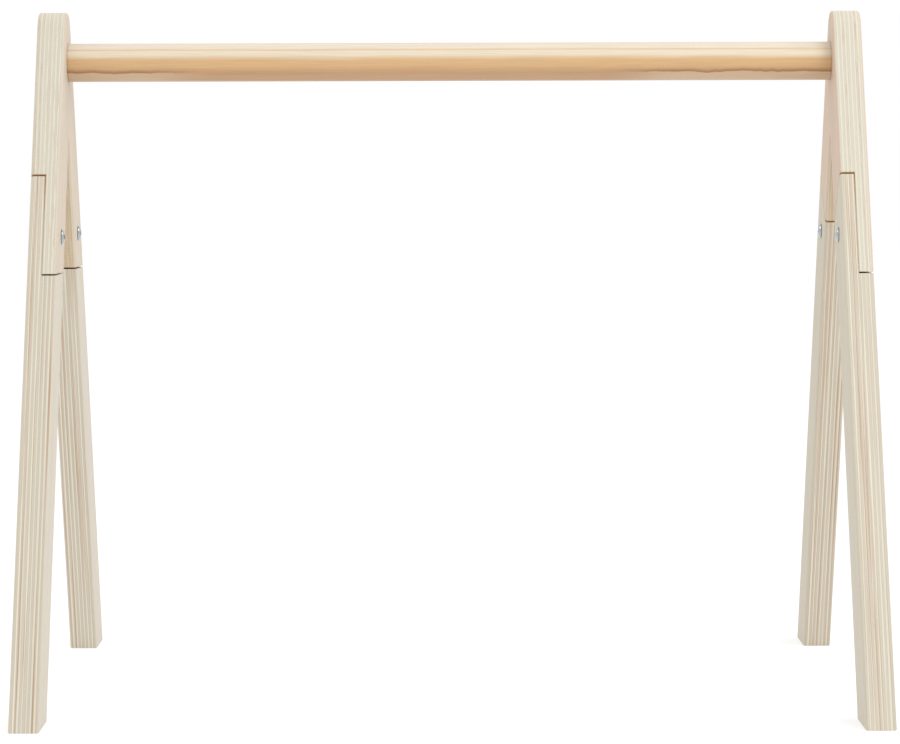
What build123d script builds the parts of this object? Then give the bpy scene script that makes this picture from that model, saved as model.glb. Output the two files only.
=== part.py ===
"""Activity play gym: two A-shaped plywood end frames joined by a round pine crossbar.

Each end frame is a short lambda-shaped head and two legs. Every leg meets the head in a half lap
held by one bolt and a sleeve nut. The crossbar sits in blind sockets in the two heads and is drawn
up by a countersunk screw at each end, which runs into a threaded insert in the bar.

Millimetres. X runs along the crossbar, Y from front to back, Z up. The origin is on the floor,
at the middle of the footprint.
"""
from build123d import *
import os
from math import acos, atan2, cos, hypot, radians, sin

# Overall sizes
WIDTH = 600.0  # outside face to outside face of the two end frames
DEPTH = 520.0  # front foot to back foot
HEIGHT = 493.0  # floor to the rounded top of the end frames

# Plywood end frames
PLY = 21.0  # thickness of the board
LEG_WIDTH = 50.0
TOP_RADIUS = 20.0  # rounding of the head's top
CROTCH_RADIUS = 3.0  # cutter radius left where the two arms of the head meet
EDGE_RADIUS = 2.0  # rounding of the long edges
ARRIS = 0.5  # small bevel on the sawn ends and along the laps

# Half laps, measured down the middle of the leg from the centre of the top arc
LAP_DISTANCE = 157.0  # to the lap bolt
TONGUE_REACH = 29.0  # from the bolt to the end of either tongue
LEG_TONGUE_SLOPE = 45.0  # degrees from level of a leg tongue's end, which is high on the outside
SHOULDER_GAP = 1.0  # open joint between a tongue's end and the shoulder it faces

# Lap bolts with low button heads on the inner faces, and sleeve nuts let in flush on the outer faces
THREAD = 6.0
HOLE_CLEARANCE = 0.4  # on the diameter, round every bolt, sleeve and screw
BOLT_HEAD = 11.0
BOLT_HEAD_HEIGHT = 2.2
BOLT_RIM = 0.6  # upright part of the head's edge
BOLT_CROWN = 6.6  # diameter of the flat round the hexagon
DOME_RADIUS = 4.4
HEX_SOCKET = 4.0  # across flats
HEX_DEPTH = 1.8
NUT_FLANGE = 14.0
NUT_FLANGE_HEIGHT = 2.0
NUT_SLEEVE = 8.0
NUT_LENGTH = 10.0
NUT_ROOM = 0.5  # depth of the sleeve's hole beyond its end
NUT_END_WALL = 1.0  # metal left between the hexagon and the thread
TIP_GAP = 0.2  # between a thread's tip and the bottom of its hole
THREAD_GAP = 0.1  # on the diameter, between a thread and its nut or insert

# Crossbar and its fixings
BAR_DIAMETER = 28.0
BAR_DROP = 36.5  # top of the end frame to the bar's axis
SOCKET_DEPTH = 10.0
SOCKET_CLEARANCE = 0.4  # on the diameter
SCREW_HEAD = 12.0  # countersunk at 90 degrees
SCREW_REACH = 19.0  # thread held inside the bar
INSERT_DIAMETER = 10.0
INSERT_CLEARANCE = 0.1  # on the diameter
INSERT_LENGTH = 20.0

LEFT, RIGHT = -1, 1
FRONT, BACK = -1, 1
BELOW, ABOVE = -1, 1
SIDES = {"left": LEFT, "right": RIGHT}
ENDS = {"front": FRONT, "back": BACK}

# Lines of the end frame that follow from those sizes
ARC_HEIGHT = HEIGHT - TOP_RADIUS
BAR_HEIGHT = HEIGHT - BAR_DROP
LEG_ANGLE = acos(TOP_RADIUS / hypot(DEPTH / 2, ARC_HEIGHT)) - atan2(ARC_HEIGHT, DEPTH / 2)
MIDDLE = TOP_RADIUS - LEG_WIDTH / 2
INSIDE = TOP_RADIUS - LEG_WIDTH
BEYOND = 2 * hypot(DEPTH, HEIGHT)  # longer than anything in the frame
TOUCH = 0.01  # two points this near count as one


def leg_point(end, along, across):
    """(y, z) of a point so far down a leg from the top arc's centre, and so far out from there."""
    y = along * sin(LEG_ANGLE) + across * cos(LEG_ANGLE)
    z = ARC_HEIGHT - along * cos(LEG_ANGLE) + across * sin(LEG_ANGLE)
    return end * y, z


def lap_point(end):
    """(y, z) of a lap bolt."""
    return leg_point(end, LAP_DISTANCE, MIDDLE)


def head_tongue_line(end):
    """The level line in the middle of the gap under a tongue of the head, as (y, z, slope)."""
    return *leg_point(end, LAP_DISTANCE + TONGUE_REACH, MIDDLE), 0.0


def leg_tongue_line(end):
    """The sloping line in the middle of the gap over a leg's tongue, as (y, z, slope)."""
    return *leg_point(end, LAP_DISTANCE - TONGUE_REACH, MIDDLE), end * LEG_TONGUE_SLOPE


def is_on(line, point):
    """Whether a point lies within a shoulder gap of a line."""
    y, z, slope = line
    off = (point.Z - z) * cos(radians(slope)) - (point.Y - y) * sin(radians(slope))
    return abs(off) < SHOULDER_GAP / 2 + TOUCH


def waste(line, way):
    """What is sawn off above or below a line, with half the shoulder gap."""
    y, z, slope = line
    middle = way * (BEYOND - SHOULDER_GAP) / 2
    return Pos(y, z) * Rot(0, 0, slope) * Pos(0, middle) * Rectangle(2 * BEYOND, BEYOND)


def half_frame(end):
    """The front or back half of an end frame."""
    return Pos(end * BEYOND / 2, 0) * Rectangle(BEYOND, 2 * BEYOND)


def leg_strip(end):
    """A leg's outline from the top arc's centre to below the floor."""
    corners = [(0, INSIDE), (0, TOP_RADIUS), (BEYOND / 2, TOP_RADIUS), (BEYOND / 2, INSIDE)]
    return make_face(Polyline(*[leg_point(end, *corner) for corner in corners], close=True))


def board_start(side):
    """x of the face of an end frame's board that looks towards -X."""
    return WIDTH / 2 - PLY if side == RIGHT else -WIDTH / 2


def board(side, outline, start=0.0, thickness=PLY):
    """An outline in Y and Z, cut from an end frame's board or from part of its thickness."""
    plane = Plane(origin=(board_start(side) + start, 0, 0), x_dir=(0, 1, 0), z_dir=(1, 0, 0))
    return extrude(plane * outline, thickness)


def face_plane(side, inner, point):
    """Plane on an end frame's inner or outer face, with its normal out of the wood."""
    x = side * (WIDTH / 2 - PLY) if inner else side * WIDTH / 2
    outward = -side if inner else side
    return Plane(origin=(x, *point), x_dir=(0, 1, 0), z_dir=(outward, 0, 0))


def round_over(body, sawn_lines):
    """Round the edges of a board's two faces, apart from those along its sawn ends."""
    faces = body.faces().filter_by(Axis.X).sort_by(Axis.X)
    edges = faces[0].edges() + faces[-1].edges()
    long_edges = [edge for edge in edges if not any(is_on(line, edge.center()) for line in sawn_lines)]
    return fillet(long_edges, EDGE_RADIUS)


def lies_on(lines, shape):
    """Whether all of an edge's or a face's corners lie on one of some lines."""
    return any(all(is_on(line, corner) for corner in shape.vertices()) for line in lines)


def ease(side, body, shoulders, sawn_ends):
    """Bevel a half lap and its sawn faces all round, but not the inside corners at its shoulders."""
    lap = board_start(side) + PLY / 2
    in_lap = [edge for edge in body.edges() if all(abs(v.X - lap) < TOUCH for v in edge.vertices())]
    inside_corners = [edge for edge in in_lap if lies_on(shoulders, edge)]
    sawn_faces = [face for face in body.faces() if lies_on(shoulders + sawn_ends, face)]
    edges = in_lap + [edge for face in sawn_faces for edge in face.edges()]
    return chamfer([edge for edge in dict.fromkeys(edges) if edge not in inside_corners], ARRIS)


def hole(plane, diameter, depth):
    """Cutter for a round hole that runs into the wood from a face."""
    return plane * Pos(0, 0, -depth / 2) * Cylinder(diameter / 2, depth)


def lap_hole(side, end):
    """Bolt hole, sleeve hole and flange recess through a lap."""
    inner = face_plane(side, True, lap_point(end))
    outer = face_plane(side, False, lap_point(end))
    cut = hole(inner, THREAD + HOLE_CLEARANCE, PLY)
    cut += hole(outer, NUT_SLEEVE + HOLE_CLEARANCE, NUT_LENGTH + NUT_ROOM)
    return cut + hole(outer, NUT_FLANGE + HOLE_CLEARANCE, NUT_FLANGE_HEIGHT)


def head(side):
    """The lambda-shaped top of an end frame, with its tongues on the +X half of the board."""
    tongue_lines = [head_tongue_line(end) for end in ENDS.values()]
    leg_lines = [leg_tongue_line(end) for end in ENDS.values()]
    outline = Pos(0, ARC_HEIGHT) * Circle(TOP_RADIUS) + leg_strip(FRONT) + leg_strip(BACK)
    outline -= waste(tongue_lines[0], BELOW)
    crotch = outline.vertices().filter_by_position(Axis.X, -TOUCH, TOUCH)[0]
    body = round_over(board(side, fillet(crotch, CROTCH_RADIUS)), tongue_lines)
    for end, line in zip(ENDS.values(), leg_lines):
        body -= board(side, waste(line, BELOW) & half_frame(end), 0, PLY / 2)
    body = ease(side, body, leg_lines, tongue_lines)
    for end in ENDS.values():
        body -= lap_hole(side, end)
    return body - bar_socket(side)


def bar_socket(side):
    """Blind socket for the bar, with the screw hole and countersink that meet it from outside."""
    centre = (0, BAR_HEIGHT)
    outer = face_plane(side, False, centre)
    cut = hole(face_plane(side, True, centre), BAR_DIAMETER + SOCKET_CLEARANCE, SOCKET_DEPTH)
    cut += hole(outer, THREAD + HOLE_CLEARANCE, PLY)
    return cut + outer * countersink(HOLE_CLEARANCE)


def countersink(clearance):
    """A 90 degree cone under a face, from the screw's head down to its thread."""
    top = (SCREW_HEAD + clearance) / 2
    bottom = (THREAD + clearance) / 2
    return Pos(0, 0, -(top - bottom) / 2) * Cone(bottom, top, top - bottom)


def leg(side, end):
    """A straight leg, sawn level at the floor, with its tongue on the -X half of the board."""
    shoulder = head_tongue_line(end)
    tip = leg_tongue_line(end)
    floor = (0.0, -SHOULDER_GAP / 2, 0.0)
    outline = leg_strip(end) - waste(tip, ABOVE) - waste(floor, BELOW)
    body = round_over(board(side, outline), [tip, floor])
    body -= board(side, waste(shoulder, ABOVE), PLY / 2, PLY / 2)
    return ease(side, body, [shoulder], [tip, floor]) - lap_hole(side, end)


def hexagon():
    """Cutter for a hexagon socket sunk from z = 0."""
    outline = RegularPolygon(HEX_SOCKET / 2, 6, major_radius=False)
    return Pos(0, 0, -HEX_DEPTH) * extrude(outline, HEX_DEPTH + TOUCH)


def rod(diameter, length, top=0.0):
    """Round bar that hangs down from z = top, with a small bevel at its lower end."""
    body = Pos(0, 0, top - length / 2) * Cylinder(diameter / 2, length)
    return chamfer(body.edges().sort_by(Axis.Z)[0], ARRIS)


def lap_bolt(side, end):
    """Low button-head bolt with a hexagon socket, through the inner half of a lap into the nut."""
    radius = BOLT_HEAD / 2
    crown = (BOLT_CROWN / 2, BOLT_HEAD_HEIGHT)
    rim = (radius, BOLT_RIM)
    flats = Polyline(crown, (0, BOLT_HEAD_HEIGHT), (0, 0), (radius, 0), rim)
    button = revolve(Plane.XZ * make_face(flats + RadiusArc(rim, crown, DOME_RADIUS)), Axis.Z)
    length = PLY - HEX_DEPTH - NUT_END_WALL - TIP_GAP
    bolt = button + rod(THREAD, length) - Pos(0, 0, BOLT_HEAD_HEIGHT) * hexagon()
    return face_plane(side, True, lap_point(end)) * bolt


def sleeve_nut(side, end):
    """Flanged nut in the outer half of a lap, with its own hexagon socket outside."""
    nut = rod(NUT_FLANGE, NUT_FLANGE_HEIGHT) + rod(NUT_SLEEVE, NUT_LENGTH) - hexagon()
    bore_top = -HEX_DEPTH - NUT_END_WALL
    nut -= Pos(0, 0, bore_top - NUT_LENGTH / 2) * Cylinder((THREAD + THREAD_GAP) / 2, NUT_LENGTH)
    return face_plane(side, False, lap_point(end)) * nut


def bar_half_length():
    """Middle of the crossbar to the bottom of either socket."""
    return WIDTH / 2 - PLY + SOCKET_DEPTH


def bar_end(side):
    """Plane on the end of the crossbar, with its normal out of the bar."""
    return Plane(origin=(side * bar_half_length(), 0, BAR_HEIGHT), x_dir=(0, 1, 0), z_dir=(side, 0, 0))


def crossbar():
    """Round bar from one blind socket to the other, bored at both ends for the inserts."""
    bar = bar_end(RIGHT) * Pos(0, 0, -bar_half_length()) * Cylinder(BAR_DIAMETER / 2, 2 * bar_half_length())
    bar = chamfer(bar.edges(), ARRIS)
    for side in SIDES.values():
        bar -= hole(bar_end(side), INSERT_DIAMETER + INSERT_CLEARANCE, INSERT_LENGTH + TIP_GAP)
    return bar


def bar_insert(side):
    """Threaded insert, flush with the end of the crossbar."""
    insert = rod(INSERT_DIAMETER, INSERT_LENGTH)
    insert -= Pos(0, 0, -INSERT_LENGTH / 2) * Cylinder((THREAD + THREAD_GAP) / 2, INSERT_LENGTH)
    return bar_end(side) * insert


def bar_screw(side):
    """Countersunk screw from outside the head, through its board and into the insert."""
    screw = rod(THREAD, PLY - SOCKET_DEPTH + SCREW_REACH) + countersink(0) - hexagon()
    return face_plane(side, False, (0, BAR_HEIGHT)) * screw


def pieces():
    """Every piece of the gym by its name."""
    found = {"crossbar": crossbar()}
    for side_name, side in SIDES.items():
        found[f"{side_name}_head"] = head(side)
        found[f"{side_name}_bar_insert"] = bar_insert(side)
        found[f"{side_name}_bar_screw"] = bar_screw(side)
        for end_name, end in ENDS.items():
            found[f"{side_name}_{end_name}_leg"] = leg(side, end)
            found[f"{side_name}_{end_name}_bolt"] = lap_bolt(side, end)
            found[f"{side_name}_{end_name}_sleeve_nut"] = sleeve_nut(side, end)
    return found


os.makedirs("parts", exist_ok=True)
for name, piece in pieces().items():
    export_step(piece, f"parts/{name}.step")
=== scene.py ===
"""Activity play gym: wood, fasteners, floor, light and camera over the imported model.

Metres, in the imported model's frame: X along the crossbar, Y from front to back, Z up from the floor.
Patterns are measured in millimetres of the real wood.
"""
from math import acos, atan2, cos, hypot, pi, radians, sin

import bmesh
import bpy
from bpy.props import FloatProperty, FloatVectorProperty, PointerProperty
from mathutils import Matrix, Vector


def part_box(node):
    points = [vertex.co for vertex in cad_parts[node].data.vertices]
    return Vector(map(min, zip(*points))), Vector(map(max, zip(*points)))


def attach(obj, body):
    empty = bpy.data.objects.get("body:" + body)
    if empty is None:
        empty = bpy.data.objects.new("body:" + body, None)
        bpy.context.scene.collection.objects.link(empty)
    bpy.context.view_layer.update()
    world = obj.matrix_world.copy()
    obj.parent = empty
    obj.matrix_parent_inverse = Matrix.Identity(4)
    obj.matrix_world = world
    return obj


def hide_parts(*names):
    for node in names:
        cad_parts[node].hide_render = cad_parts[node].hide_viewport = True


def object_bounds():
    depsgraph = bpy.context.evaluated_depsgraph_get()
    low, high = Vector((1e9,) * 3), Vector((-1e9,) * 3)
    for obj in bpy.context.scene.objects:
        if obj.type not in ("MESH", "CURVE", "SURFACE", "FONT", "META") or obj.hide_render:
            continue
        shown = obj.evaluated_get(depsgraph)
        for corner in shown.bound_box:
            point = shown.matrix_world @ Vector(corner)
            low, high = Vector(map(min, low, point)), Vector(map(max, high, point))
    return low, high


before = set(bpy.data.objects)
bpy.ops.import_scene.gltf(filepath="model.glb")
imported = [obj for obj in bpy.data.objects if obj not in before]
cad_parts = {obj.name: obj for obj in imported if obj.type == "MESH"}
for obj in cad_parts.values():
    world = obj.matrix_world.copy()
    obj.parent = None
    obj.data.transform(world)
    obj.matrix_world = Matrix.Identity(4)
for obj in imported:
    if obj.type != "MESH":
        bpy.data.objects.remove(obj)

bl_info = {
    "name": "Activity play gym",
    "version": (1, 0, 0),
    "blender": (4, 5, 0),
    "location": "3D View > Sidebar > Play Gym",
    "description": "Finishes the plywood frames, pine crossbar and fasteners of a play gym",
    "category": "Object",
}

CAD_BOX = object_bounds()
MM = 0.001
TURNED_STEPS, BAR_STEPS = 48, 144
SIDES = {"left": -1, "right": 1}
ENDS = {"front": -1, "back": 1}
HEADS = [f"{side}_head" for side in SIDES]
LEGS = [f"{side}_{end}_leg" for side in SIDES for end in ENDS]
LAPS = [f"{side}_{end}" for side in SIDES for end in ENDS]


def linear(hex_code):
    """Linear RGBA of an sRGB hex colour."""
    found = []
    for at in (0, 2, 4):
        value = int(hex_code[at:at + 2], 16) / 255
        found.append(value / 12.92 if value <= 0.04045 else ((value + 0.055) / 1.055) ** 2.4)
    return (*found, 1.0)


def colour(name, description, hex_code):
    return FloatVectorProperty(name=name, description=description, default=linear(hex_code), size=4,
                               subtype="COLOR", min=0.0, max=1.0)


def size(name, description, default):
    return FloatProperty(name=name, description=description, default=default, min=0.0,
                         subtype="DISTANCE", unit="LENGTH")


def share(name, description, default):
    return FloatProperty(name=name, description=description, default=default, min=0.0, max=1.0,
                         subtype="FACTOR")


class GymPlywood(bpy.types.PropertyGroup):
    # The right veneer colours are darker copies of the left ones: painted shade on the right frame, which
    # faces away from the key light
    left_leg_veneer: colour("Left leg veneer", "Sanded face of the left legs' outer veneer", "CAC2B2")
    right_leg_veneer: colour("Right leg veneer", "The right legs' outer veneer, a little darker", "C0B8A6")
    left_head_veneer: colour("Left head veneer", "Sanded, pinker face of the left head", "CABCA9")
    right_head_veneer: colour("Right head veneer", "The right head's face, pinker again", "CBB49F")
    long_ply: colour("Long plies", "Edges of the plies whose grain runs along the leg", "D3CEBD")
    cross_ply: colour("Cross plies", "Sawn ends of the plies whose grain runs across the leg", "B8AC99")
    streak: colour("Streaks", "Darker fibres in a ply", "A37A58")
    glue: colour("Glue lines", "Line of glue between two plies", "9E8062")
    scorched: colour("Scorched joints", "Wood browned by the cutter in the laps", "A8835A")
    # Tan of a head's crotch: partly the cutter's heat, partly painted shade between the arms
    toasted_and_painted_shade: colour("Toasted crotch", "Tan that the cutter's heat left between a head's arms", "EDDAC6")
    tongue: size("Tongue reach", "From a lap bolt to the end of either tongue", 29 * MM)
    gap: size("Shoulder gap", "Open joint at the end of a tongue", 1 * MM)
    leg_width: size("Leg width", "Width of a leg and of a head's arm", 50 * MM)
    top_radius: size("Top radius", "Rounding of a head's top", 20 * MM)
    plies: FloatProperty(name="Plies", description="Plies in the board", default=15, min=3, max=31)
    sanded: size("Sanded off", "What sanding took off each outer veneer", 0.4 * MM)
    roughness: share("Roughness", "Roughness of the clear matt lacquer", 0.55)


class GymPine(bpy.types.PropertyGroup):
    earlywood: colour("Earlywood", "Pale wood grown in spring", "D9CDBA")
    late_spring: colour("Late spring wood", "Creamier wood before the latewood", "DACBB1")
    latewood: colour("Latewood", "Thin darker line at the end of a year's growth", "D4B48E")
    broad_latewood: colour("Broad latewood", "Latewood where the bar's face lies along a ring", "CCA677")
    heartwood: colour("Heartwood", "Redder wood near the middle of the tree", "B58A62")
    ring_line: colour("Ring line", "Dark line where a ring comes to the surface", "94683A")
    pith_distance: size("Pith distance", "From the bar's axis to the middle of the tree", 60 * MM)
    pith_tilt: FloatProperty(name="Pith tilt", description="How far above level the middle of the tree is",
                             default=radians(12), subtype="ANGLE", unit="ROTATION")
    bevel: size("Bevel", "Bevel round the bar's ends", 0.5 * MM)
    bore_room: size("Bore room", "Room round a bar insert", 0.05 * MM)
    bore_end: size("Bore end", "Depth of a bore past its insert", 0.2 * MM)
    roughness: share("Roughness", "Roughness of sanded, oiled pine", 0.5)


class GymMetal(bpy.types.PropertyGroup):
    zinc: colour("Zinc", "Bright zinc plating", "B4BBBF")
    zinc_roughness: share("Zinc roughness", "Roughness of bright zinc plating", 0.16)
    brass: colour("Brass", "Turned brass", "D8B368")
    brass_roughness: share("Brass roughness", "Roughness of turned brass", 0.25)


class GymFasteners(bpy.types.PropertyGroup):
    rim_height: size("Rim height", "Upright part of the button head's edge", 0.6 * MM)
    underside: size("Underside bevel", "Bevel under a button head, next to the wood", 0.4 * MM)
    crown: size("Crown radius", "Flat round the hexagon", 3.3 * MM)
    dome: size("Dome radius", "Radius of the button head's rounded shoulder", 4.4 * MM)
    hexagon: size("Hexagon", "Hexagon socket across its flats", 4 * MM)
    hexagon_depth: size("Hexagon depth", "Depth of the hexagon socket's walls", 1.8 * MM)
    drill_point: size("Drill point", "Cone left under the hexagon", 0.5 * MM)
    break_edge: size("Broken edge", "Small bevel on turned and forged edges", 0.15 * MM)
    flange_height: size("Flange height", "Thickness of a sleeve nut's flange", 2 * MM)
    sleeve: size("Sleeve radius", "Radius of a sleeve nut's sleeve", 4 * MM)
    bore: size("Bore radius", "Radius of a sleeve nut's thread", 3.05 * MM)
    thread: size("Thread radius", "Radius of the bolts' and screws' threads", 3 * MM)
    tip: size("Tip bevel", "Bevel at the tip of a bolt, screw or nut", 0.5 * MM)
    end_wall: size("End wall", "Metal between a sleeve nut's hexagon and its thread", 1 * MM)


class GymStudio(bpy.types.PropertyGroup):
    floor: colour("Floor", "Plain pale floor", "B4B4B4")
    floor_glow: share("Floor glow", "Light that a floor lit through from below adds", 0.58)
    room: FloatProperty(name="Room", description="Strength of the white room", default=1.0, min=0.0)
    key_power: FloatProperty(name="Key light", description="Power of the large soft light", default=18.0,
                             min=0.0, unit="POWER")
    key_place: FloatVectorProperty(name="Key light place", description="Middle of the large soft light",
                                   default=(1.3, -1.4, 1.9), subtype="TRANSLATION", unit="LENGTH")
    key_size: size("Key light size", "Side of the large soft light", 1.2)
    side_power: FloatProperty(name="Side lights", default=2.5, min=0.0, unit="POWER",
                              description="Power of each light that glints on the bolts")
    side_place: FloatVectorProperty(name="Side light place", description="Middle of the right side light",
                                    default=(1.26, 0.28, 1.19), subtype="TRANSLATION", unit="LENGTH")
    side_size: size("Side light size", "Side of each side light", 0.45)
    camera_place: FloatVectorProperty(name="Camera place", description="Where the camera stands",
                                      default=(-0.0089725, -2.9473972, 0.3930339),
                                      subtype="TRANSLATION", unit="LENGTH")
    yaw: FloatProperty(name="Yaw", description="Camera's turn to the left", default=radians(-0.1704),
                       subtype="ANGLE", unit="ROTATION")
    pitch: FloatProperty(name="Pitch", description="Camera's tilt upwards", default=radians(-3.188),
                         subtype="ANGLE", unit="ROTATION")
    roll: FloatProperty(name="Roll", description="Camera's turn about its own axis",
                        default=radians(-0.1679), subtype="ANGLE", unit="ROTATION")
    lens: FloatProperty(name="Lens", description="Focal length in mm on a 36 mm sensor", default=160.454,
                        min=1.0)


def begin(name):
    """An empty node material and its object coordinates in millimetres."""
    made = bpy.data.materials.new(name)
    made.use_nodes = True
    made.node_tree.nodes.clear()
    return made, add(made, "ShaderNodeTexCoord").outputs["Object"]


def add(material, kind, settings=None, inputs=None):
    """Add a node, with its own settings, and with a value or another node's socket on its inputs."""
    node = material.node_tree.nodes.new(kind)
    for name, value in (settings or {}).items():
        if name == "stops":
            ramp = node.color_ramp
            for position, tint in value[1:-1]:
                ramp.elements.new(position).color = tint
            for at in (0, -1):
                ramp.elements[at].position, ramp.elements[at].color = value[at]
        else:
            setattr(node, name, value)
    for name, value in (inputs or {}).items():
        if isinstance(value, bpy.types.NodeSocket):
            material.node_tree.links.new(value, node.inputs[name])
        else:
            node.inputs[name].default_value = value
    return node


def finish_material(material, shader_inputs):
    """Join a principled shader with these inputs to the material's output."""
    shader = add(material, "ShaderNodeBsdfPrincipled", {}, shader_inputs)
    add(material, "ShaderNodeOutputMaterial", {}, {"Surface": shader.outputs["BSDF"]})
    return material


def leg_lean():
    """How far a leg leans from upright, from its feet, its width and the head's rounded top."""
    radius = bpy.context.scene.gym_plywood.top_radius
    half, rise = CAD_BOX[1].y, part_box("left_head")[1].z - radius
    return acos(radius / hypot(half, rise)) - atan2(rise, half)


def cutter_marks(made, board, side, lean):
    """Where the cutter scorched the half laps, and where the wood between a head's arms takes a tan from the
    cutter's heat together with painted shade of the crotch.

    Returns both as amounts from 0 to 1. board is the position in millimetres.
    """
    look = bpy.context.scene.gym_plywood
    low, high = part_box(f"{side}_head")
    middle, middle_depth = (low.x + high.x) / 2 / MM, (high.x - low.x) / 2 / MM
    bolt_low, bolt_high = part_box(f"{side}_back_bolt")
    bolt = (bolt_low + bolt_high) / 2 / MM
    rise, run = look.tongue / MM * cos(leg_lean()), look.tongue / MM * sin(leg_lean())
    half = look.gap / MM / 2

    # Distances above the level shoulders, beyond the sloping ones, and from the plane of the laps
    at = add(made, "ShaderNodeSeparateXYZ", {}, {"Vector": board}).outputs
    out = add(made, "ShaderNodeMath", {"operation": "ABSOLUTE"}, {0: at["Y"]}).outputs[0]
    above = add(made, "ShaderNodeMath", {"operation": "SUBTRACT"},
                {0: at["Z"], 1: bolt.z - rise}).outputs[0]
    slope = add(made, "ShaderNodeMath", {"operation": "SUBTRACT"}, {0: at["Z"], 1: out}).outputs[0]
    beyond = add(made, "ShaderNodeMath", {"operation": "MULTIPLY_ADD"}, {
        0: slope, 1: sin(pi / 4), 2: -(bolt.z + rise - bolt.y + run) * sin(pi / 4)}).outputs[0]
    from_lap = add(made, "ShaderNodeMath", {"operation": "SUBTRACT"}, {0: at["X"], 1: middle}).outputs[0]
    off_lap = add(made, "ShaderNodeMath", {"operation": "ABSOLUTE"}, {0: from_lap}).outputs[0]

    # The level shoulders in front are left without scorch, so that their lines look thinner
    behind = add(made, "ShaderNodeMapRange", {}, {"Value": at["Y"], "From Max": 1.0}).outputs["Result"]
    everywhere = 1.0
    scorched = []
    for distance, extra, first, last, where in ((above, 0.05, -0.6, -0.4, behind),
                                                (beyond, 0.15, 0.6, 0.4, everywhere)):
        off = add(made, "ShaderNodeMath", {"operation": "ABSOLUTE"}, {0: distance}).outputs[0]
        on = add(made, "ShaderNodeMapRange", {}, {
            "Value": off, "From Min": half + extra, "From Max": half + extra + 0.2,
            "To Min": 1.0, "To Max": 0.0}).outputs["Result"]
        here = add(made, "ShaderNodeMapRange", {}, {"Value": from_lap, "From Min": first, "From Max": last})
        mark = add(made, "ShaderNodeMath", {"operation": "MULTIPLY"},
                   {0: on, 1: here.outputs["Result"]}).outputs[0]
        scorched.append(add(made, "ShaderNodeMath", {"operation": "MULTIPLY"},
                            {0: mark, 1: where}).outputs[0])

    # The cutter's bevel along the lap is wider and darker towards the top of the joint
    width = add(made, "ShaderNodeMapRange", {}, {"Value": beyond, "From Min": -45.0, "From Max": 0.0,
                                                 "To Min": 0.25, "To Max": 0.55}).outputs["Result"]
    seam = add(made, "ShaderNodeMath", {"operation": "LESS_THAN"}, {0: off_lap, 1: width}).outputs[0]
    limits = [add(made, "ShaderNodeMapRange", {}, {"Value": value, "From Min": first, "From Max": last,
                                                   "To Min": least}).outputs["Result"]
              for value, first, last, least in ((beyond, -35.0, -4.0, 0.45), (above, -0.6, -0.4, 0.0),
                                                (beyond, 0.6, 0.4, 0.0))]
    for limit in limits:
        seam = add(made, "ShaderNodeMath", {"operation": "MULTIPLY"}, {0: seam, 1: limit}).outputs[0]
    scorch = seam
    for mark in scorched:
        scorch = add(made, "ShaderNodeMath", {"operation": "MAXIMUM"}, {0: scorch, 1: mark}).outputs[0]
    scorch = add(made, "ShaderNodeMath", {"operation": "MULTIPLY"}, {0: scorch, 1: 0.9}).outputs[0]

    # Only heads get the tan with painted crotch shade; it stops at their rounded edges, where sanding took
    # the tan off
    across = add(made, "ShaderNodeVectorMath", {"operation": "DOT_PRODUCT"}, {
        0: add(made, "ShaderNodeCombineXYZ", {}, {"Y": out, "Z": at["Z"]}).outputs["Vector"],
        1: (0, cos(leg_lean()), sin(leg_lean()))}).outputs["Value"]
    centre = (high.z - look.top_radius) / MM * sin(leg_lean())
    inner = centre + (look.top_radius - look.leg_width) / MM
    near = add(made, "ShaderNodeMapRange", {}, {
        "Value": across, "From Min": inner + 1.0, "From Max": inner + 0.2,
        "To Max": 0.0 if lean else 1.0}).outputs["Result"]
    flat = add(made, "ShaderNodeMapRange", {}, {
        "Value": off_lap, "From Min": middle_depth - 1.6,
        "From Max": middle_depth - 2.1}).outputs["Result"]
    tan_and_painted_shade = add(made, "ShaderNodeMath", {"operation": "MULTIPLY"}, {0: near, 1: flat}).outputs[0]
    # Each pass of the cutter left a faint mark across the board, 1.6 mm from the last
    passes = add(made, "ShaderNodeMath", {"operation": "PINGPONG"}, {0: at["Z"], 1: 0.8}).outputs[0]
    amount = add(made, "ShaderNodeMapRange", {}, {"Value": passes, "From Max": 0.8,
                                                  "To Min": 0.75}).outputs["Result"]
    tan_and_painted_shade = add(made, "ShaderNodeMath", {"operation": "MULTIPLY"}, {0: tan_and_painted_shade, 1: amount}).outputs[0]
    return scorch, tan_and_painted_shade


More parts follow.
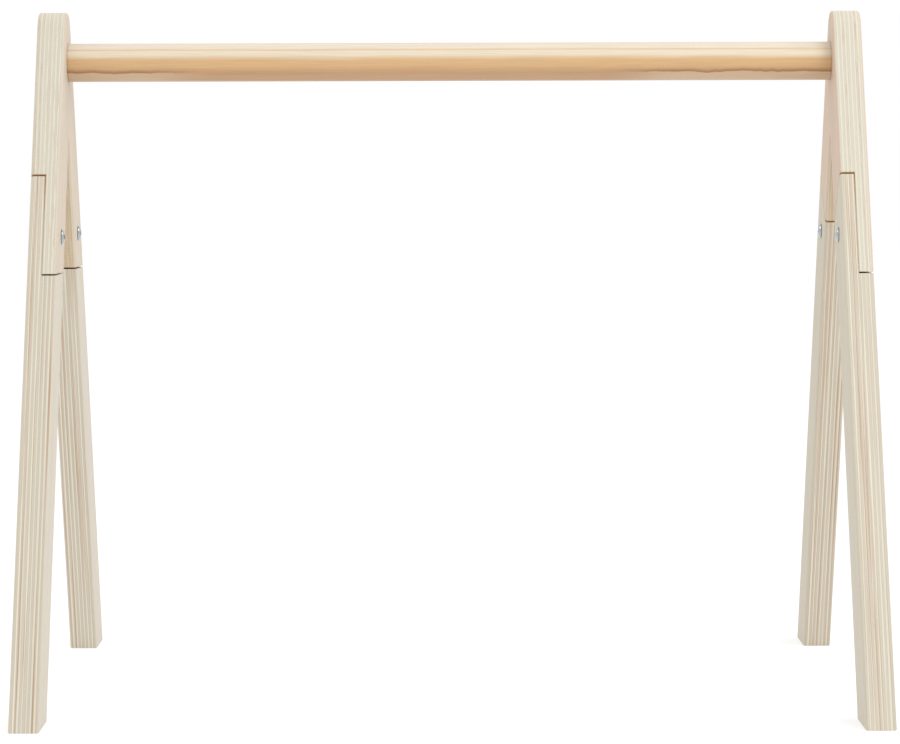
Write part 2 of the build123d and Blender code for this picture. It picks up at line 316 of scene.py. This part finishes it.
def birch_plywood(name, side, lean, seed, contrast, side_shaded_veneer):
    """Birch plywood, CNC cut, sanded and lacquered matt.

    Its sawn edges show the plies: cream where the grain runs along the cut, greyer where the cut
    crosses it, with a few brown streaks. The outer veneers are smooth and faintly pink. The cutter
    scorched the joints brown. Between a head's arms the wood is tan from the cutter's heat, with painted
    shade of the crotch mixed in.
    """
    look = bpy.context.scene.gym_plywood
    low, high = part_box(f"{side}_head")
    sanded = look.sanded / MM
    middle_depth = (high.x - low.x) / 2 / MM
    ply = 2 * (middle_depth + sanded) / look.plies
    made, place = begin(name)
    board = add(made, "ShaderNodeMapping", {}, {"Vector": place, "Scale": (1 / MM,) * 3}).outputs["Vector"]
    wood = add(made, "ShaderNodeMapping", {}, {
        "Vector": board, "Rotation": (lean, 0, 0),
        "Location": (-low.x / MM, seed * 37.0, seed * 91.0)}).outputs["Vector"]

    # Inner plies differ in thickness, and wander by a few tenths of a millimetre along the board
    slow = add(made, "ShaderNodeMapping", {}, {"Vector": wood, "Scale": (0.5, 0.015, 0.005)})
    wander = add(made, "ShaderNodeTexNoise", {}, {"Vector": slow.outputs["Vector"], "Scale": 1.0,
                                                  "Detail": 2.0})
    even = add(made, "ShaderNodeMath", {"operation": "SUBTRACT"}, {0: wander.outputs["Fac"], 1: 0.5})
    through = add(made, "ShaderNodeSeparateXYZ", {}, {"Vector": wood}).outputs["X"]
    depth = add(made, "ShaderNodeMath", {"operation": "PINGPONG"}, {0: through, 1: middle_depth}).outputs[0]
    inside = add(made, "ShaderNodeMapRange", {}, {"Value": depth, "From Min": 0.8, "From Max": 2.8,
                                                  "To Max": 1.4}).outputs["Result"]
    shifted = add(made, "ShaderNodeMath", {"operation": "MULTIPLY_ADD"},
                  {0: even.outputs[0], 1: inside, 2: through})
    plies = add(made, "ShaderNodeMath", {"operation": "MULTIPLY_ADD"},
                {0: shifted.outputs[0], 1: 1 / ply, 2: sanded / ply}).outputs[0]
    count = add(made, "ShaderNodeMath", {"operation": "FLOOR"}, {0: plies}).outputs[0]
    crossing = add(made, "ShaderNodeMath", {"operation": "FLOORED_MODULO"}, {0: count, 1: 2.0}).outputs[0]
    own = add(made, "ShaderNodeMath", {"operation": "ADD"}, {0: count, 1: seed * 17.3}).outputs[0]
    tone = add(made, "ShaderNodeTexWhiteNoise", {"noise_dimensions": "1D"}, {"W": own}).outputs["Value"]
    near = add(made, "ShaderNodeMath", {"operation": "PINGPONG"}, {0: plies, 1: 0.5}).outputs[0]
    line = add(made, "ShaderNodeMapRange", {}, {"Value": near, "From Min": 0.03, "From Max": 0.12,
                                                "To Min": 1.0, "To Max": 0.0}).outputs["Result"]
    off_middle = add(made, "ShaderNodeMath", {"operation": "SUBTRACT"}, {0: plies, 1: look.plies / 2})
    outwards = add(made, "ShaderNodeMath", {"operation": "ABSOLUTE"}, {0: off_middle.outputs[0]})
    outer = add(made, "ShaderNodeMapRange", {}, {"Value": outwards.outputs[0],
                                                 "From Min": look.plies / 2 - 1.05,
                                                 "From Max": look.plies / 2 - 0.95}).outputs["Result"]

    # Fibres are about 0.1 mm wide; drawn 0.7 mm wide so that they show
    drawn = add(made, "ShaderNodeMapping", {}, {"Vector": wood, "Scale": (1.4, 1.4, 0.02)})
    fibres = add(made, "ShaderNodeTexNoise", {}, {"Vector": drawn.outputs["Vector"], "Scale": 1.0,
                                                  "Detail": 3.0, "Roughness": 0.6}).outputs["Fac"]
    wide = add(made, "ShaderNodeMapping", {}, {"Vector": wood, "Scale": (1.5, 0.12, 0.006)})
    figure = add(made, "ShaderNodeTexNoise", {}, {"Vector": wide.outputs["Vector"], "Scale": 1.0,
                                                  "Detail": 4.0, "Distortion": 0.4}).outputs["Fac"]
    # Vessels in the cross plies are 0.1 mm holes; drawn 0.8 mm apart
    cut = add(made, "ShaderNodeMapping", {}, {"Vector": wood, "Scale": (1.1, 1.3, 0.6)})
    vessels = add(made, "ShaderNodeTexNoise", {}, {"Vector": cut.outputs["Vector"], "Scale": 1.0,
                                                   "Detail": 4.0, "Roughness": 0.7}).outputs["Fac"]
    grain = add(made, "ShaderNodeMix", {}, {0: crossing, 2: fibres, 3: vessels}).outputs[0]

    uneven = add(made, "ShaderNodeMapRange", {}, {"Value": tone, "To Min": 0.45 * contrast,
                                                  "To Max": contrast}).outputs["Result"]
    darker = add(made, "ShaderNodeMath", {"operation": "MULTIPLY"}, {0: crossing, 1: uneven}).outputs[0]
    edge = add(made, "ShaderNodeMix", {"data_type": "RGBA"},
               {0: darker, 6: look.long_ply, 7: look.cross_ply}).outputs[2]
    glue = add(made, "ShaderNodeMath", {"operation": "MULTIPLY"}, {0: line, 1: 0.6 * contrast}).outputs[0]
    edge = add(made, "ShaderNodeMix", {"data_type": "RGBA"}, {0: glue, 6: edge, 7: look.glue}).outputs[2]
    some = add(made, "ShaderNodeMapRange", {}, {"Value": tone, "From Min": 0.35, "From Max": 0.75})
    brown = add(made, "ShaderNodeMapRange", {}, {"Value": figure, "From Min": 0.5, "From Max": 0.62,
                                                 "To Max": contrast ** 2})
    streaks = add(made, "ShaderNodeMath", {"operation": "MULTIPLY"},
                  {0: some.outputs["Result"], 1: brown.outputs["Result"]}).outputs[0]
    edge = add(made, "ShaderNodeMix", {"data_type": "RGBA"},
               {0: streaks, 6: edge, 7: look.streak}).outputs[2]
    bands = add(made, "ShaderNodeMapRange", {}, {"Value": figure, "From Min": 0.45, "From Max": 0.7,
                                                 "To Max": 0.12}).outputs["Result"]
    face = add(made, "ShaderNodeMix", {"data_type": "RGBA"},
               {0: bands, 6: side_shaded_veneer, 7: look.streak}).outputs[2]
    bare = add(made, "ShaderNodeMix", {"data_type": "RGBA"}, {0: outer, 6: edge, 7: face}).outputs[2]

    scorch, tan_and_painted_shade = cutter_marks(made, board, side, lean)
    # Tan between a head's arms, partly painted shade of the crotch
    worked = add(made, "ShaderNodeMix", {"data_type": "RGBA", "blend_type": "MULTIPLY"},
                 {0: tan_and_painted_shade, 6: bare, 7: look.toasted_and_painted_shade}).outputs[2]
    worked = add(made, "ShaderNodeMix", {"data_type": "RGBA"},
                 {0: scorch, 6: worked, 7: look.scorched}).outputs[2]

    lift = add(made, "ShaderNodeMapRange", {"clamp": False}, {
        "Value": grain, "From Min": 0.3, "From Max": 0.7, "To Min": 0.95, "To Max": 1.04}).outputs["Result"]
    each = add(made, "ShaderNodeMapRange", {}, {"Value": tone, "To Min": 1 - 0.06 * contrast,
                                                "To Max": 1 + 0.05 * contrast})
    level = add(made, "ShaderNodeMath", {"operation": "MULTIPLY"}, {0: lift, 1: each.outputs["Result"]})
    tinted = add(made, "ShaderNodeVectorMath", {"operation": "SCALE"},
                 {0: worked, "Scale": level.outputs[0]})

    rough = add(made, "ShaderNodeMapRange", {}, {"Value": grain, "To Min": look.roughness - 0.08,
                                                 "To Max": look.roughness + 0.12})
    # The lacquer leaves 0.03 mm of raised grain and a slight dip at each glue line
    dips = add(made, "ShaderNodeMath", {"operation": "SUBTRACT"}, {0: grain, 1: line})
    bump = add(made, "ShaderNodeBump", {}, {"Height": dips.outputs[0], "Distance": 0.03 * MM,
                                            "Strength": 1.0})
    return finish_material(made, {"Base Color": tinted.outputs["Vector"],
                                  "Roughness": rough.outputs["Result"], "Normal": bump.outputs["Normal"],
                                  "IOR": 1.5})


def pine_dowel(name, axis):
    """Scots pine dowel, turned, sanded and oiled.

    Growth rings run along the bar as bands: broad and golden in front, where the surface lies along
    a ring, and thin lines above it. The underside is redder heartwood.
    """
    look = bpy.context.scene.gym_pine
    distance = look.pith_distance / MM
    pith = distance * cos(look.pith_tilt), distance * sin(look.pith_tilt)
    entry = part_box("right_head")[0].x / MM
    made, place = begin(name)
    wood = add(made, "ShaderNodeMapping", {}, {
        "Vector": place, "Scale": (1 / MM,) * 3,
        "Location": (0.0, -axis.y / MM - pith[0], -axis.z / MM - pith[1])}).outputs["Vector"]
    slow = add(made, "ShaderNodeMapping", {}, {"Vector": wood, "Scale": (0.011, 0.06, 0.06)})
    wave = add(made, "ShaderNodeTexNoise", {}, {"Vector": slow.outputs["Vector"], "Scale": 1.0,
                                                "Detail": 2.0, "Roughness": 0.55}).outputs["Fac"]
    section = add(made, "ShaderNodeVectorMath", {"operation": "MULTIPLY"}, {0: wood, 1: (0, 1, 1)})
    straight = add(made, "ShaderNodeVectorMath", {"operation": "LENGTH"}, {0: section.outputs["Vector"]})
    bent = add(made, "ShaderNodeMath", {"operation": "MULTIPLY_ADD"},
               {0: wave, 1: 0.9, 2: straight.outputs["Value"]}).outputs[0]
    first, last = distance - 15.0, distance + 15.0
    across = add(made, "ShaderNodeMapRange", {}, {"Value": bent, "From Min": first + 0.45,
                                                  "From Max": last + 0.45}).outputs["Result"]
    tints = []
    for ring in (49.4, 53.1, 57.2, 62.6, 70.0):
        tints += [(ring - 1.3, look.earlywood), (ring - 0.3, look.latewood), (ring, look.latewood),
                  (ring + 0.15, look.earlywood)]
    tints += [(72.2, look.late_spring), (73.5, look.broad_latewood), (75.0, look.broad_latewood)]
    stops = [((radius - first) / (last - first), tint) for radius, tint in tints]
    rings = add(made, "ShaderNodeValToRGB", {"stops": stops}, {"Fac": across}).outputs["Color"]
    at = add(made, "ShaderNodeSeparateXYZ", {}, {"Vector": wood}).outputs
    along, height = at["X"], at["Z"]
    low = add(made, "ShaderNodeMapRange", {"interpolation_type": "SMOOTHSTEP"}, {
        "Value": height, "From Min": -pith[1] - 2.0, "From Max": -pith[1] - 9.0,
        "To Max": 0.85}).outputs["Result"]
    body = add(made, "ShaderNodeMix", {"data_type": "RGBA"},
               {0: low, 6: rings, 7: look.heartwood}).outputs[2]

    # Near both ends, further in on the right, a ring's dark line comes to the surface low on the bar,
    # in slow waves, with paler wood under it
    quick = add(made, "ShaderNodeMapping", {}, {"Vector": wood, "Scale": (0.03, 0.0, 0.0)})
    swell = add(made, "ShaderNodeTexNoise", {}, {"Vector": quick.outputs["Vector"], "Scale": 1.0,
                                                 "Detail": 4.0, "Roughness": 0.6}).outputs["Fac"]
    crest = add(made, "ShaderNodeMath", {"operation": "MULTIPLY_ADD"},
                {0: swell, 1: 6.0, 2: height}).outputs[0]
    off = add(made, "ShaderNodeMath", {"operation": "SUBTRACT"}, {0: crest, 1: -pith[1] - 4.5}).outputs[0]
    above = add(made, "ShaderNodeMapRange", {}, {"Value": off, "From Min": 0.0, "From Max": 2.4,
                                                 "To Min": 1.0, "To Max": 0.0}).outputs["Result"]
    below = add(made, "ShaderNodeMapRange", {}, {"Value": off, "From Min": -0.7, "From Max": -0.1})
    ends = add(made, "ShaderNodeMath", {"operation": "ABSOLUTE"}, {0: along}).outputs[0]
    moved = add(made, "ShaderNodeMath", {"operation": "ADD"}, {0: along, 1: 30.0}).outputs[0]
    away = add(made, "ShaderNodeMath", {"operation": "ABSOLUTE"}, {0: moved}).outputs[0]
    shown = add(made, "ShaderNodeMapRange", {"interpolation_type": "SMOOTHSTEP"}, {
        "Value": away, "From Min": 140.0, "From Max": 200.0, "To Max": 0.8}).outputs["Result"]
    under = add(made, "ShaderNodeMapRange", {}, {"Value": off, "From Min": -0.1, "From Max": -0.7,
                                                 "To Max": 0.45}).outputs["Result"]
    under = add(made, "ShaderNodeMath", {"operation": "MULTIPLY"}, {0: under, 1: shown}).outputs[0]
    body = add(made, "ShaderNodeMix", {"data_type": "RGBA"},
               {0: under, 6: body, 7: look.late_spring}).outputs[2]
    dark = add(made, "ShaderNodeMath", {"operation": "MULTIPLY"},
               {0: above, 1: below.outputs["Result"]}).outputs[0]
    dark = add(made, "ShaderNodeMath", {"operation": "MULTIPLY"}, {0: dark, 1: shown}).outputs[0]
    body = add(made, "ShaderNodeMix", {"data_type": "RGBA"},
               {0: dark, 6: body, 7: look.ring_line}).outputs[2]

    # Tracheids are about 0.04 mm wide; drawn 0.5 mm wide so that they show
    fine = add(made, "ShaderNodeMapping", {}, {"Vector": wood, "Scale": (0.025, 2.0, 2.0)})
    fibres = add(made, "ShaderNodeTexNoise", {}, {"Vector": fine.outputs["Vector"], "Scale": 1.0,
                                                  "Detail": 4.0, "Roughness": 0.65}).outputs["Fac"]
    lift = add(made, "ShaderNodeMapRange", {"clamp": False}, {
        "Value": fibres, "From Min": 0.3, "From Max": 0.7, "To Min": 0.87, "To Max": 1.07})
    # Painted shadow: a darker line where the bar enters a head
    painted_entry_shadow = add(made, "ShaderNodeMapRange", {}, {
        "Value": ends, "From Min": entry - 1.2, "From Max": entry - 0.5, "To Min": 1.0, "To Max": 0.78})
    lift = add(made, "ShaderNodeMath", {"operation": "MULTIPLY"},
               {0: lift.outputs["Result"], 1: painted_entry_shadow.outputs["Result"]}).outputs[0]
    tinted = add(made, "ShaderNodeVectorMath", {"operation": "SCALE"}, {0: body, "Scale": lift})
    rough = add(made, "ShaderNodeMapRange", {}, {"Value": fibres, "To Min": look.roughness - 0.08,
                                                 "To Max": look.roughness + 0.08})
    bump = add(made, "ShaderNodeBump", {}, {"Height": fibres, "Distance": 0.03 * MM, "Strength": 1.0})
    return finish_material(made, {"Base Color": tinted.outputs["Vector"],
                                  "Roughness": rough.outputs["Result"], "Normal": bump.outputs["Normal"],
                                  "IOR": 1.5})


def plated_or_turned(name, tint, roughness, mark_mm):
    """A metal whose plating or turning leaves fine marks, which break up its reflections."""
    made, place = begin(name)
    marks = add(made, "ShaderNodeTexNoise", {}, {"Vector": place, "Scale": 1 / (mark_mm * MM),
                                                 "Detail": 3.0}).outputs["Fac"]
    shade = add(made, "ShaderNodeMapRange", {}, {"Value": marks, "To Min": 0.86, "To Max": 1.08})
    tinted = add(made, "ShaderNodeVectorMath", {"operation": "SCALE"},
                 {0: tuple(tint)[:3], "Scale": shade.outputs["Result"]})
    rough = add(made, "ShaderNodeMapRange", {}, {"Value": marks, "To Min": roughness - 0.08,
                                                 "To Max": roughness + 0.12})
    bump = add(made, "ShaderNodeBump", {}, {"Height": marks, "Distance": 0.01 * MM, "Strength": 1.0})
    return finish_material(made, {"Base Color": tinted.outputs["Vector"], "Metallic": 1.0,
                                  "Roughness": rough.outputs["Result"], "Normal": bump.outputs["Normal"]})


def zinc_plated_steel():
    """Zinc-plated steel, bright: pale, slightly blue, with a soft gleam and a fine crystalline mottle."""
    found = bpy.data.materials.get("zinc_plated_steel")
    look = bpy.context.scene.gym_metal
    return found or plated_or_turned("zinc_plated_steel", look.zinc, look.zinc_roughness, 0.6)


def turned_brass():
    """Free-machining brass, turned: yellow, with a sharper gleam than the zinc."""
    look = bpy.context.scene.gym_metal
    return plated_or_turned("turned_brass", look.brass, look.brass_roughness, 0.4)


def turned(profile, steps):
    """A surface turned about Z from a profile of (radius, height)."""
    bm = bmesh.new()
    points = [bm.verts.new((radius, 0, height)) for radius, height in profile]
    lines = [bm.edges.new(pair) for pair in zip(points, points[1:])]
    bmesh.ops.spin(bm, geom=points + lines, cent=(0, 0, 0), axis=(0, 0, 1), angle=2 * pi, steps=steps,
                   use_merge=True)
    bmesh.ops.remove_doubles(bm, verts=bm.verts, dist=0.001 * MM)
    return bm


def open_rim(bm):
    """Edges of a shell's open rim."""
    return [edge for edge in bm.edges if len(edge.link_faces) == 1]


def cut_hexagon(bm, top):
    """Close a turned shell's open crown with a hexagon socket, sunk from z = top."""
    sizes = bpy.context.scene.gym_fasteners
    rim = open_rim(bm)
    made = bmesh.ops.create_circle(bm, segments=6, radius=sizes.hexagon / 2 / cos(pi / 6),
                                   matrix=Matrix.Translation((0, 0, top)))
    corners = set(made["verts"])
    sides = [edge for edge in bm.edges if set(edge.verts) <= corners]
    bmesh.ops.subdivide_edges(bm, edges=sides, cuts=len(rim) // 6 - 1)
    mouth = [edge for edge in bm.edges if not edge.link_faces]
    bmesh.ops.bridge_loops(bm, edges=rim + mouth)
    for drop, keep in ((sizes.hexagon_depth, 1.0), (sizes.drill_point, 0.02)):
        walls = bmesh.ops.extrude_edge_only(bm, edges=open_rim(bm))["geom"]
        moved = [item for item in walls if isinstance(item, bmesh.types.BMVert)]
        bmesh.ops.scale(bm, vec=(keep, keep, 1), verts=moved)
        bmesh.ops.translate(bm, vec=(0, 0, -drop), verts=moved)
    bmesh.ops.contextual_create(bm, geom=open_rim(bm))
    bmesh.ops.bevel(bm, geom=mouth, offset=sizes.break_edge, offset_type="OFFSET", affect="EDGES",
                    segments=2, profile=0.5, material=-1)
    return bm


def settle(bm, name, material, nodes, place, crease=32):
    """Turn a mesh into a finished piece at its place, which stands for these CAD nodes."""
    bmesh.ops.transform(bm, matrix=place, verts=bm.verts)
    bmesh.ops.recalc_face_normals(bm, faces=bm.faces)
    for face in bm.faces:
        face.smooth = True
    for edge in bm.edges:
        edge.smooth = len(edge.link_faces) == 2 and edge.calc_face_angle(0) < radians(crease)
    mesh = bpy.data.meshes.new(name)
    bm.to_mesh(mesh)
    bm.free()
    mesh.materials.append(material)
    piece = bpy.data.objects.new(name, mesh)
    bpy.context.scene.collection.objects.link(piece)
    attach(piece, "root")
    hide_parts(*nodes)
    return piece


def out_of_wood(node, outer):
    """Matrix that stands a fastener on its face of the board, with Z out of the wood."""
    low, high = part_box(node)
    middle = (low + high) / 2
    side = 1 if middle.x > 0 else -1
    face_low, face_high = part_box("right_head" if side > 0 else "left_head")
    faces = sorted((face_low.x, face_high.x), key=abs)
    turn = Matrix.Rotation(side * (pi / 2 if outer else -pi / 2), 4, "Y")
    return Matrix.Translation((faces[1] if outer else faces[0], middle.y, middle.z)) @ turn


def reach(node, outer):
    """(lowest, highest) of a fastener above its face of the board."""
    inverse = out_of_wood(node, outer).inverted()
    return sorted((inverse @ corner).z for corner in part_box(node))


class GYM_OT_plywood_frames(bpy.types.Operator):
    """Give the heads and legs birch plywood, with its grain along each piece"""
    bl_idname = "gym.plywood_frames"
    bl_label = "Plywood frames"

    def execute(self, context):
        look = context.scene.gym_plywood
        for seed, name in enumerate(HEADS + LEGS, start=1):
            side, end = name.split("_")[:2]
            lean = leg_lean() * -ENDS[end] if end in ENDS else 0.0
            kind, contrast = ("leg", 0.85) if lean else ("head", 0.55)
            # The right frame's veneer colour carries painted shade
            side_shaded_veneer = getattr(look, f"{side}_{kind}_veneer")
            made = birch_plywood(f"birch_plywood_{name}", side, lean, float(seed), contrast, side_shaded_veneer)
            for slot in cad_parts[name].material_slots:
                slot.material = made
        return {"FINISHED"}


class GYM_OT_crossbar(bpy.types.Operator):
    """Turn the pine crossbar, with its bored and bevelled ends"""
    bl_idname = "gym.crossbar"
    bl_label = "Crossbar"

    def execute(self, context):
        low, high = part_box("crossbar")
        insert_low, insert_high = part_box("right_bar_insert")
        middle, radius, end = (low + high) / 2, (high.z - low.z) / 2, high.x
        look = context.scene.gym_pine
        bore = (insert_high.z - insert_low.z) / 2 + look.bore_room
        floor = insert_low.x - look.bore_end
        half = [(0, floor), (bore, floor), (bore, end), (radius - look.bevel, end),
                (radius, end - look.bevel)]
        other = [(r, -x) for r, x in reversed(half)]
        bm = turned(half + other, BAR_STEPS)
        place = Matrix.Translation((0, middle.y, middle.z)) @ Matrix.Rotation(pi / 2, 4, "Y")
        settle(bm, "crossbar_turned", pine_dowel("pine_dowel", middle), ["crossbar"], place)
        return {"FINISHED"}


class GYM_OT_lap_bolts(bpy.types.Operator):
    """Button-head bolts with hexagon sockets on the inner faces of the laps"""
    bl_idname = "gym.lap_bolts"
    bl_label = "Lap bolts"

    def execute(self, context):
        sizes = context.scene.gym_fasteners
        for lap in LAPS:
            node = f"{lap}_bolt"
            low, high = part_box(node)
            rim, (tip, top) = (high.z - low.z) / 2, reach(node, False)
            start, end = Vector((rim, sizes.rim_height)), Vector((sizes.crown, top))
            chord = end - start
            sag = (sizes.dome ** 2 - chord.length_squared / 4) ** 0.5
            centre = (start + end) / 2 + Vector((-chord.y, chord.x)).normalized() * sag
            first, last = (atan2(*(point - centre).yx) for point in (end, start))
            dome = [(centre.x + sizes.dome * cos(angle), centre.y + sizes.dome * sin(angle))
                    for angle in (first + (last - first) * step / 8 for step in range(9))]
            edge = sizes.underside
            shank = [(rim, edge), (rim - edge, 0), (sizes.thread, 0), (sizes.thread, tip + sizes.tip),
                     (sizes.thread - sizes.tip, tip), (0, tip)]
            bm = cut_hexagon(turned(dome + shank, TURNED_STEPS), top)
            settle(bm, f"{node}_forged", zinc_plated_steel(), [node], out_of_wood(node, False))
        return {"FINISHED"}


class GYM_OT_sleeve_nuts(bpy.types.Operator):
    """Flanged sleeve nuts let in flush with the outer faces of the laps"""
    bl_idname = "gym.sleeve_nuts"
    bl_label = "Sleeve nuts"

    def execute(self, context):
        sizes = context.scene.gym_fasteners
        edge = sizes.break_edge
        for lap in LAPS:
            node = f"{lap}_sleeve_nut"
            low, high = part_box(node)
            flange, tip = (high.z - low.z) / 2, reach(node, True)[0]
            wall = -sizes.hexagon_depth - sizes.end_wall
            profile = [(sizes.crown, 0), (flange - edge, 0), (flange, -edge),
                       (flange, -sizes.flange_height),
                       (sizes.sleeve, -sizes.flange_height), (sizes.sleeve, tip + sizes.tip),
                       (sizes.sleeve - sizes.tip, tip), (sizes.bore, tip), (sizes.bore, wall), (0, wall)]
            bm = cut_hexagon(turned(profile, TURNED_STEPS), 0.0)
            settle(bm, f"{node}_turned", zinc_plated_steel(), [node], out_of_wood(node, True))
        return {"FINISHED"}


class GYM_OT_bar_screws(bpy.types.Operator):
    """Countersunk screws that hold the crossbar from the outer faces of the heads"""
    bl_idname = "gym.bar_screws"
    bl_label = "Bar screws"

    def execute(self, context):
        sizes = context.scene.gym_fasteners
        edge = sizes.break_edge
        for side in SIDES:
            node = f"{side}_bar_screw"
            low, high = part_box(node)
            head, tip = (high.z - low.z) / 2, reach(node, True)[0]
            profile = [(sizes.crown, 0), (head - edge, 0), (head, -edge), (sizes.thread, sizes.thread - head),
                       (sizes.thread, tip + sizes.tip), (sizes.thread - sizes.tip, tip), (0, tip)]
            bm = cut_hexagon(turned(profile, TURNED_STEPS), 0.0)
            settle(bm, f"{node}_turned", zinc_plated_steel(), [node], out_of_wood(node, True))
        return {"FINISHED"}


class GYM_OT_bar_inserts(bpy.types.Operator):
    """Give the threaded inserts in the crossbar their brass"""
    bl_idname = "gym.bar_inserts"
    bl_label = "Bar inserts"

    def execute(self, context):
        made = turned_brass()
        for side in SIDES:
            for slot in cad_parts[f"{side}_bar_insert"].material_slots:
                slot.material = made
        return {"FINISHED"}


class GYM_OT_studio(bpy.types.Operator):
    """Lay the plain pale floor and set up the white room, the soft light and the camera"""
    bl_idname = "gym.studio"
    bl_label = "Studio"

    def execute(self, context):
        scene, look = context.scene, context.scene.gym_studio
        scene.view_settings.view_transform = "Standard"
        scene.view_settings.look = "None"

        # Matt white laminate floor, lit evenly, with a very faint mottle
        made, place = begin("matt_white_floor")
        mottle = add(made, "ShaderNodeTexNoise", {}, {"Vector": place, "Scale": 3.0, "Detail": 2.0})
        rough = add(made, "ShaderNodeMapRange", {}, {"Value": mottle.outputs["Fac"], "To Min": 0.7,
                                                     "To Max": 0.8})
        finish_material(made, {"Base Color": look.floor, "Roughness": rough.outputs["Result"],
                               "Specular IOR Level": 0.0, "Emission Color": (1, 1, 1, 1),
                               "Emission Strength": look.floor_glow})
        bm = bmesh.new()
        bmesh.ops.create_grid(bm, x_segments=1, y_segments=1, size=12)
        mesh = bpy.data.meshes.new("floor")
        bm.to_mesh(mesh)
        bm.free()
        mesh.materials.append(made)
        floor = bpy.data.objects.new("floor", mesh)
        scene.collection.objects.link(floor)

        room = bpy.data.worlds.new("white_room")
        room.use_nodes = True
        air = room.node_tree.nodes["Background"]
        air.inputs["Color"].default_value = (1, 1, 1, 1)
        air.inputs["Strength"].default_value = look.room
        scene.world = room

        right, left = Vector(look.side_place), Vector(look.side_place) * Vector((-1, 1, 1))
        for name, power, place, width in (("key_light", look.key_power, look.key_place, look.key_size),
                                          ("right_side_light", look.side_power, right, look.side_size),
                                          ("left_side_light", look.side_power, left, look.side_size)):
            light = bpy.data.lights.new(name, "AREA")
            light.energy, light.shape, light.size = power, "SQUARE", width
            lamp = bpy.data.objects.new(name, light)
            aim = Vector(place) - Vector((0, 0, 0.25))
            lamp.matrix_world = Matrix.Translation(place) @ aim.to_track_quat("Z", "Y").to_matrix().to_4x4()
            scene.collection.objects.link(lamp)

        lens = bpy.data.cameras.new("camera")
        lens.sensor_fit, lens.sensor_width, lens.lens = "HORIZONTAL", 36.0, look.lens
        lens.clip_start, lens.clip_end = 0.05, 60.0
        camera = bpy.data.objects.new("camera", lens)
        turn = (Matrix.Rotation(look.yaw, 4, "Z") @ Matrix.Rotation(pi / 2 + look.pitch, 4, "X")
                @ Matrix.Rotation(look.roll, 4, "Z"))
        camera.matrix_world = Matrix.Translation(look.camera_place) @ turn
        scene.collection.objects.link(camera)
        scene.camera = camera
        return {"FINISHED"}


GROUPS = {"gym_plywood": GymPlywood, "gym_pine": GymPine, "gym_metal": GymMetal,
          "gym_fasteners": GymFasteners, "gym_studio": GymStudio}
OPERATORS = [GYM_OT_plywood_frames, GYM_OT_crossbar, GYM_OT_lap_bolts, GYM_OT_sleeve_nuts,
             GYM_OT_bar_screws, GYM_OT_bar_inserts, GYM_OT_studio]


class GYM_PT_panel(bpy.types.Panel):
    """Sizes, colours and steps of the play gym"""
    bl_idname = "GYM_PT_panel"
    bl_label = "Play gym"
    bl_space_type = "VIEW_3D"
    bl_region_type = "UI"
    bl_category = "Play Gym"

    def draw(self, context):
        for operator in OPERATORS:
            self.layout.operator(operator.bl_idname)
        for name in GROUPS:
            box = self.layout.box()
            group = getattr(context.scene, name)
            for key in group.__annotations__:
                box.prop(group, key)


def register():
    for group in GROUPS.values():
        bpy.utils.register_class(group)
    for name, group in GROUPS.items():
        setattr(bpy.types.Scene, name, PointerProperty(type=group))
    for operator in OPERATORS:
        bpy.utils.register_class(operator)
    bpy.utils.register_class(GYM_PT_panel)


def unregister():
    bpy.utils.unregister_class(GYM_PT_panel)
    for operator in reversed(OPERATORS):
        bpy.utils.unregister_class(operator)
    for name, group in GROUPS.items():
        delattr(bpy.types.Scene, name)
        bpy.utils.unregister_class(group)


def main():
    register()
    bpy.ops.gym.plywood_frames()
    bpy.ops.gym.crossbar()
    bpy.ops.gym.lap_bolts()
    bpy.ops.gym.sleeve_nuts()
    bpy.ops.gym.bar_screws()
    bpy.ops.gym.bar_inserts()
    bpy.ops.gym.studio()


if __name__ == "__main__":
    main()
